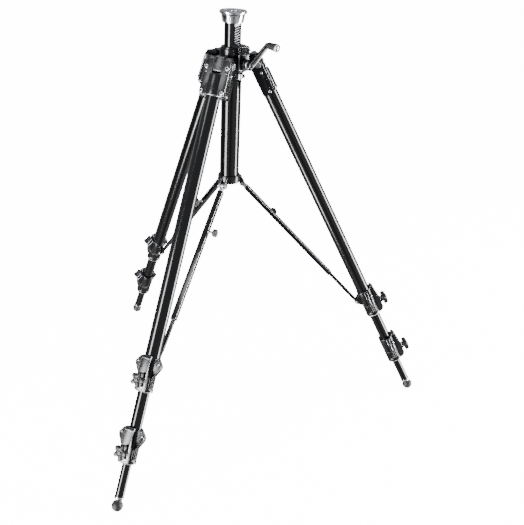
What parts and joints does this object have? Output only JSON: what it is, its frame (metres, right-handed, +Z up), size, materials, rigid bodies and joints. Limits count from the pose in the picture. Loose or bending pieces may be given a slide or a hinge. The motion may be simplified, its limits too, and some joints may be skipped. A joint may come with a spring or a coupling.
{
  "type": "camera tripod",
  "caption": "Camera tripod with a crank-driven geared centre column, telescopic legs with knob locks, a strut spreader and a flat threaded top plate.",
  "frame": {"origin": "on the floor, under the centre column's axis", "axes": "+Z up along the column, +X towards the foot of leg B"},
  "size_m": [0.763, 0.8772, 0.9665],
  "materials": {
    "black_anodised": "gloss black anodised aluminium tube",
    "casting_black": "satin black enamel on die cast alloy",
    "casting_grey": "satin dark grey enamel on die cast alloy",
    "polished_alloy": "polished turned aluminium",
    "steel": "bright zinc plated steel",
    "rack_alloy": "milled aluminium",
    "brass": "cut brass",
    "knob_plastic": "moulded black plastic",
    "foot_rubber": "moulded black rubber"
  },
  "bodies": {
    "crown_body": {"crown": "casting_black", "sleeve_tube": "black_anodised", "sleeve_collar": "casting_grey", "gear_housing": "casting_black", "spreader_hub": "casting_grey", "leg_pivot_pins": "steel", "hub_pins": "steel"},
    "column": {"column_tube": "black_anodised", "column_rack": "rack_alloy", "column_cup": "polished_alloy", "top_plate": "polished_alloy", "plate_screws": "steel"},
    "wheel": {"worm_wheel": "brass"},
    "crank": {"worm_shaft": "steel", "crank_arm": "casting_black", "grip_spindle": "steel"},
    "grip": {"crank_grip": "knob_plastic"},
    "clamp_knob": {"column_lock_knob": "knob_plastic"},
    "leg_a": {"leg_a_casting": "casting_black", "leg_a_cover": "casting_grey", "leg_a_upper_tube": "black_anodised", "leg_a_upper_lock": "casting_grey", "leg_a_screws": "steel"},
    "middle_a": {"leg_a_middle_tube": "black_anodised", "leg_a_lower_lock": "casting_grey"},
    "lower_a": {"leg_a_lower_tube": "black_anodised", "leg_a_foot": "foot_rubber"},
    "upper_knob_a": {"leg_a_upper_knob": "knob_plastic"},
    "lower_knob_a": {"leg_a_lower_knob": "knob_plastic"},
    "strut_a": {"leg_a_strut_channel": "black_anodised"},
    "rod_a": {"leg_a_strut_rod": "steel"},
    "thumb_a": {"leg_a_strut_knob": "knob_plastic"},
    "leg_b": {"leg_b_casting": "casting_black", "leg_b_cover": "casting_grey", "leg_b_upper_tube": "black_anodised", "leg_b_upper_lock": "casting_grey", "leg_b_screws": "steel"},
    "middle_b": {"leg_b_middle_tube": "black_anodised", "leg_b_lower_lock": "casting_grey"},
    "lower_b": {"leg_b_lower_tube": "black_anodised", "leg_b_foot": "foot_rubber"},
    "upper_knob_b": {"leg_b_upper_knob": "knob_plastic"},
    "lower_knob_b": {"leg_b_lower_knob": "knob_plastic"},
    "strut_b": {"leg_b_strut_channel": "black_anodised"},
    "rod_b": {"leg_b_strut_rod": "steel"},
    "thumb_b": {"leg_b_strut_knob": "knob_plastic"},
    "leg_c": {"leg_c_casting": "casting_black", "leg_c_cover": "casting_grey", "leg_c_upper_tube": "black_anodised", "leg_c_upper_lock": "casting_grey", "leg_c_screws": "steel"},
    "middle_c": {"leg_c_middle_tube": "black_anodised", "leg_c_lower_lock": "casting_grey"},
    "lower_c": {"leg_c_lower_tube": "black_anodised", "leg_c_foot": "foot_rubber"},
    "upper_knob_c": {"leg_c_upper_knob": "knob_plastic"},
    "lower_knob_c": {"leg_c_lower_knob": "knob_plastic"},
    "strut_c": {"leg_c_strut_channel": "black_anodised"},
    "rod_c": {"leg_c_strut_rod": "steel"},
    "thumb_c": {"leg_c_strut_knob": "knob_plastic"}
  },
  "joints": [
    {"name": "column_rise", "type": "slide", "parent": "crown_body", "child": "column", "axis": [0, 0, 1], "range_m": [-0.04, 0.19]},
    {"name": "wheel_turn", "type": "hinge", "parent": "crown_body", "child": "wheel", "pos_m": [0.01432, -0.0248, 0.88394], "axis": [0.866, 0.5, 0], "continuous": true},
    {"name": "crank_turn", "type": "hinge", "parent": "crown_body", "child": "crank", "pos_m": [0, 0, 0.864], "axis": [0.5, -0.866, 0], "continuous": true},
    {"name": "grip_turn", "type": "hinge", "parent": "crank", "child": "grip", "pos_m": [0.08051, -0.05744, 0.9036], "axis": [0.5, -0.866, 0], "continuous": true},
    {"name": "clamp_knob_turn", "type": "hinge", "parent": "crown_body", "child": "clamp_knob", "pos_m": [0.01498, -0.02594, 0.83294], "axis": [0.866, 0.5, 0], "range_deg": [0, 270]},
    {"name": "fold_a", "type": "hinge", "parent": "crown_body", "child": "leg_a", "pos_m": [-0.0262, -0.04538, 0.86054], "axis": [0.866, -0.5, 0], "range_deg": [0, 24.4]},
    {"name": "middle_slide_a", "type": "slide", "parent": "leg_a", "child": "middle_a", "axis": [-0.2301, -0.3985, -0.8878], "range_m": [-0.075, 0.35]},
    {"name": "lower_slide_a", "type": "slide", "parent": "middle_a", "child": "lower_a", "axis": [-0.2301, -0.3985, -0.8878], "range_m": [-0.07, 0.35]},
    {"name": "upper_knob_a", "type": "hinge", "parent": "leg_a", "child": "upper_knob_a", "pos_m": [-0.19519, -0.33808, 0.27262], "axis": [-0.4439, -0.7689, 0.4602], "range_deg": [0, 180]},
    {"name": "lower_knob_a", "type": "hinge", "parent": "middle_a", "child": "lower_knob_a", "pos_m": [-0.23085, -0.39985, 0.13501], "axis": [-0.4439, -0.7689, 0.4602], "range_deg": [0, 180]},
    {"name": "strut_tilt_a", "type": "hinge", "parent": "crown_body", "child": "strut_a", "pos_m": [-0.01515, -0.02624, 0.58244], "axis": [0.866, -0.5, 0], "range_deg": [0, 39.08]},
    {"name": "strut_slide_a", "type": "slide", "parent": "strut_a", "child": "rod_a", "axis": [-0.3441, -0.596, -0.7256], "range_m": [-0.05685, 0]},
    {"name": "strut_knob_a", "type": "hinge", "parent": "rod_a", "child": "thumb_a", "pos_m": [-0.05409, -0.09369, 0.50032], "axis": [0.866, -0.5, 0], "range_deg": [0, 270]},
    {"name": "fold_b", "type": "hinge", "parent": "crown_body", "child": "leg_b", "pos_m": [0.0524, 0, 0.86054], "axis": [0, 1, 0], "range_deg": [0, 24.4]},
    {"name": "middle_slide_b", "type": "slide", "parent": "leg_b", "child": "middle_b", "axis": [0.4602, 0, -0.8878], "range_m": [-0.075, 0.35]},
    {"name": "lower_slide_b", "type": "slide", "parent": "middle_b", "child": "lower_b", "axis": [0.4602, 0, -0.8878], "range_m": [-0.07, 0.35]},
    {"name": "upper_knob_b", "type": "hinge", "parent": "leg_b", "child": "upper_knob_b", "pos_m": [0.39038, 0, 0.27262], "axis": [0.8878, 0, 0.4602], "range_deg": [0, 180]},
    {"name": "lower_knob_b", "type": "hinge", "parent": "middle_b", "child": "lower_knob_b", "pos_m": [0.46171, 0, 0.13501], "axis": [0.8878, 0, 0.4602], "range_deg": [0, 180]},
    {"name": "strut_tilt_b", "type": "hinge", "parent": "crown_body", "child": "strut_b", "pos_m": [0.0303, 0, 0.58244], "axis": [0, 1, 0], "range_deg": [0, 39.08]},
    {"name": "strut_slide_b", "type": "slide", "parent": "strut_b", "child": "rod_b", "axis": [0.6882, 0, -0.7256], "range_m": [-0.05685, 0]},
    {"name": "strut_knob_b", "type": "hinge", "parent": "rod_b", "child": "thumb_b", "pos_m": [0.10819, 0, 0.50032], "axis": [0, 1, 0], "range_deg": [0, 270]},
    {"name": "fold_c", "type": "hinge", "parent": "crown_body", "child": "leg_c", "pos_m": [-0.0262, 0.04538, 0.86054], "axis": [-0.866, -0.5, 0], "range_deg": [0, 24.4]},
    {"name": "middle_slide_c", "type": "slide", "parent": "leg_c", "child": "middle_c", "axis": [-0.2301, 0.3985, -0.8878], "range_m": [-0.075, 0.35]},
    {"name": "lower_slide_c", "type": "slide", "parent": "middle_c", "child": "lower_c", "axis": [-0.2301, 0.3985, -0.8878], "range_m": [-0.07, 0.35]},
    {"name": "upper_knob_c", "type": "hinge", "parent": "leg_c", "child": "upper_knob_c", "pos_m": [-0.19519, 0.33808, 0.27262], "axis": [-0.4439, 0.7689, 0.4602], "range_deg": [0, 180]},
    {"name": "lower_knob_c", "type": "hinge", "parent": "middle_c", "child": "lower_knob_c", "pos_m": [-0.23085, 0.39985, 0.13501], "axis": [-0.4439, 0.7689, 0.4602], "range_deg": [0, 180]},
    {"name": "strut_tilt_c", "type": "hinge", "parent": "crown_body", "child": "strut_c", "pos_m": [-0.01515, 0.02624, 0.58244], "axis": [-0.866, -0.5, 0], "range_deg": [0, 39.08]},
    {"name": "strut_slide_c", "type": "slide", "parent": "strut_c", "child": "rod_c", "axis": [-0.3441, 0.596, -0.7256], "range_m": [-0.05685, 0]},
    {"name": "strut_knob_c", "type": "hinge", "parent": "rod_c", "child": "thumb_c", "pos_m": [-0.05409, 0.09369, 0.50032], "axis": [-0.866, -0.5, 0], "range_deg": [0, 270]}
  ],
  "couplings": [
    {"joint": "wheel_turn", "follows": "column_rise", "rad_per_m": 83.776},
    {"joint": "crank_turn", "follows": "column_rise", "rad_per_m": 418.88},
    {"joint": "strut_tilt_a", "follows": "fold_a", "ratio": 1.5995},
    {"joint": "strut_slide_a", "follows": "fold_a", "m_per_rad": -0.13326},
    {"joint": "strut_tilt_b", "follows": "fold_b", "ratio": 1.5995},
    {"joint": "strut_slide_b", "follows": "fold_b", "m_per_rad": -0.13326},
    {"joint": "strut_tilt_c", "follows": "fold_c", "ratio": 1.5995},
    {"joint": "strut_slide_c", "follows": "fold_c", "m_per_rad": -0.13326}
  ]
}
